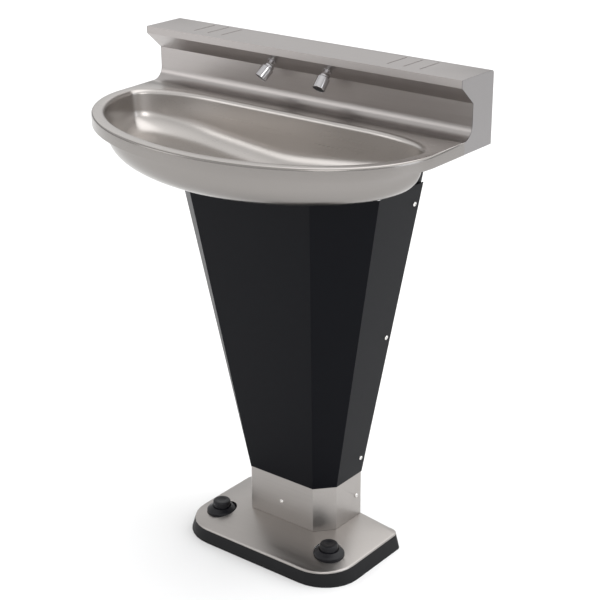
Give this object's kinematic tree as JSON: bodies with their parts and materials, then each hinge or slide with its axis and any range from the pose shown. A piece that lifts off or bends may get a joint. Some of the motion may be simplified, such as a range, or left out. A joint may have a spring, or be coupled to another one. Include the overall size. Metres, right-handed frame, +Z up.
{
  "type": "pedestal sink",
  "caption": "Stainless wall-side wash basin with splashback shelf on a folded black pedestal, with swivel outlets worked by foot buttons on the base.",
  "frame": {"origin": "on the floor under the middle of the basin: halfway along the wall, and halfway from the wall plane to the basin front", "axes": "+Z up, +Y towards the wall that the basin stands against, +X to the right for a user who faces the wall"},
  "size_m": [0.7, 0.42, 0.972],
  "materials": {
    "stainless": "satin",
    "stainless_pale": "satin",
    "bare_steel": "satin",
    "frame_black": "matte",
    "cover_black": "satin",
    "screws": "polished",
    "plinth_black": "matte",
    "button_black": "satin",
    "chrome": "polished",
    "seal": "matte",
    "white_plastic": "gloss",
    "spring_steel": "satin",
    "air_tube": "gloss",
    "brass": "satin",
    "black_plastic": "satin",
    "braid": "satin",
    "seat_plastic": "matte"
  },
  "bodies": {
    "stand": {"basin": "stainless", "splashback": "stainless", "end_panel_left": "stainless", "end_panel_right": "stainless", "rear_rail": "bare_steel", "upright_left": "frame_black", "upright_right": "frame_black", "rail_bolts": "screws", "valve_bracket": "bare_steel", "bracket_screws": "screws", "pedestal_cover": "cover_black", "cover_screws": "screws", "ankle_skirt": "stainless_pale", "ankle_screws": "screws", "base_pan": "stainless_pale", "plinth": "plinth_black", "sole_plate": "bare_steel", "button_collar_left": "button_black", "button_collar_right": "button_black", "button_cup_left": "white_plastic", "button_cup_right": "white_plastic", "button_spring_left": "spring_steel", "button_spring_right": "spring_steel", "air_bellows_left": "seal", "air_bellows_right": "seal", "air_tube_left": "air_tube", "air_tube_right": "air_tube", "flow_valve_left": "brass", "flow_valve_right": "brass", "valve_actuator_left": "black_plastic", "valve_actuator_right": "black_plastic", "inlet_elbow_left": "brass", "inlet_elbow_right": "brass", "outlet_hose_left": "braid", "outlet_hose_right": "braid", "outlet_shank_left": "chrome", "outlet_shank_right": "chrome", "outlet_nut_left": "brass", "outlet_nut_right": "brass", "waste_flange": "chrome", "waste_strainer": "chrome", "waste_gasket": "seal", "waste_tail": "white_plastic", "trap_body": "white_plastic", "trap_cup": "white_plastic", "trap_nuts": "white_plastic", "waste_pipe": "white_plastic"},
    "button_left": {"button_cap_left": "button_black", "button_stem_left": "white_plastic"},
    "seat_left": {"seat_ring_left": "seat_plastic"},
    "head_left": {"swivel_head_left": "chrome", "aerator_left": "black_plastic"},
    "button_right": {"button_cap_right": "button_black", "button_stem_right": "white_plastic"},
    "seat_right": {"seat_ring_right": "seat_plastic"},
    "head_right": {"swivel_head_right": "chrome", "aerator_right": "black_plastic"}
  },
  "joints": [
    {"name": "press_left", "type": "slide", "parent": "stand", "child": "button_left", "axis": [0, 0, -1], "range_m": [0, 0.008], "stiffness_N_per_m": 1500, "springref_m": -0.004, "deforming": ["button_spring_left", "air_bellows_left"]},
    {"name": "tilt_left", "type": "hinge", "parent": "stand", "child": "seat_left", "pos_m": [-0.062, 0.12303, 0.93353], "axis": [1, 0, 0], "range_deg": [-15, 15]},
    {"name": "pan_left", "type": "hinge", "parent": "seat_left", "child": "head_left", "pos_m": [-0.062, 0.12303, 0.93353], "axis": [0, -0.7474, 0.6644], "range_deg": [-3, 37]},
    {"name": "press_right", "type": "slide", "parent": "stand", "child": "button_right", "axis": [0, 0, -1], "range_m": [0, 0.008], "stiffness_N_per_m": 1500, "springref_m": -0.004, "deforming": ["button_spring_right", "air_bellows_right"]},
    {"name": "tilt_right", "type": "hinge", "parent": "stand", "child": "seat_right", "pos_m": [0.062, 0.12303, 0.93353], "axis": [1, 0, 0], "range_deg": [-15, 15]},
    {"name": "pan_right", "type": "hinge", "parent": "seat_right", "child": "head_right", "pos_m": [0.062, 0.12303, 0.93353], "axis": [0, -0.7474, 0.6644], "range_deg": [-20, 20]}
  ]
}
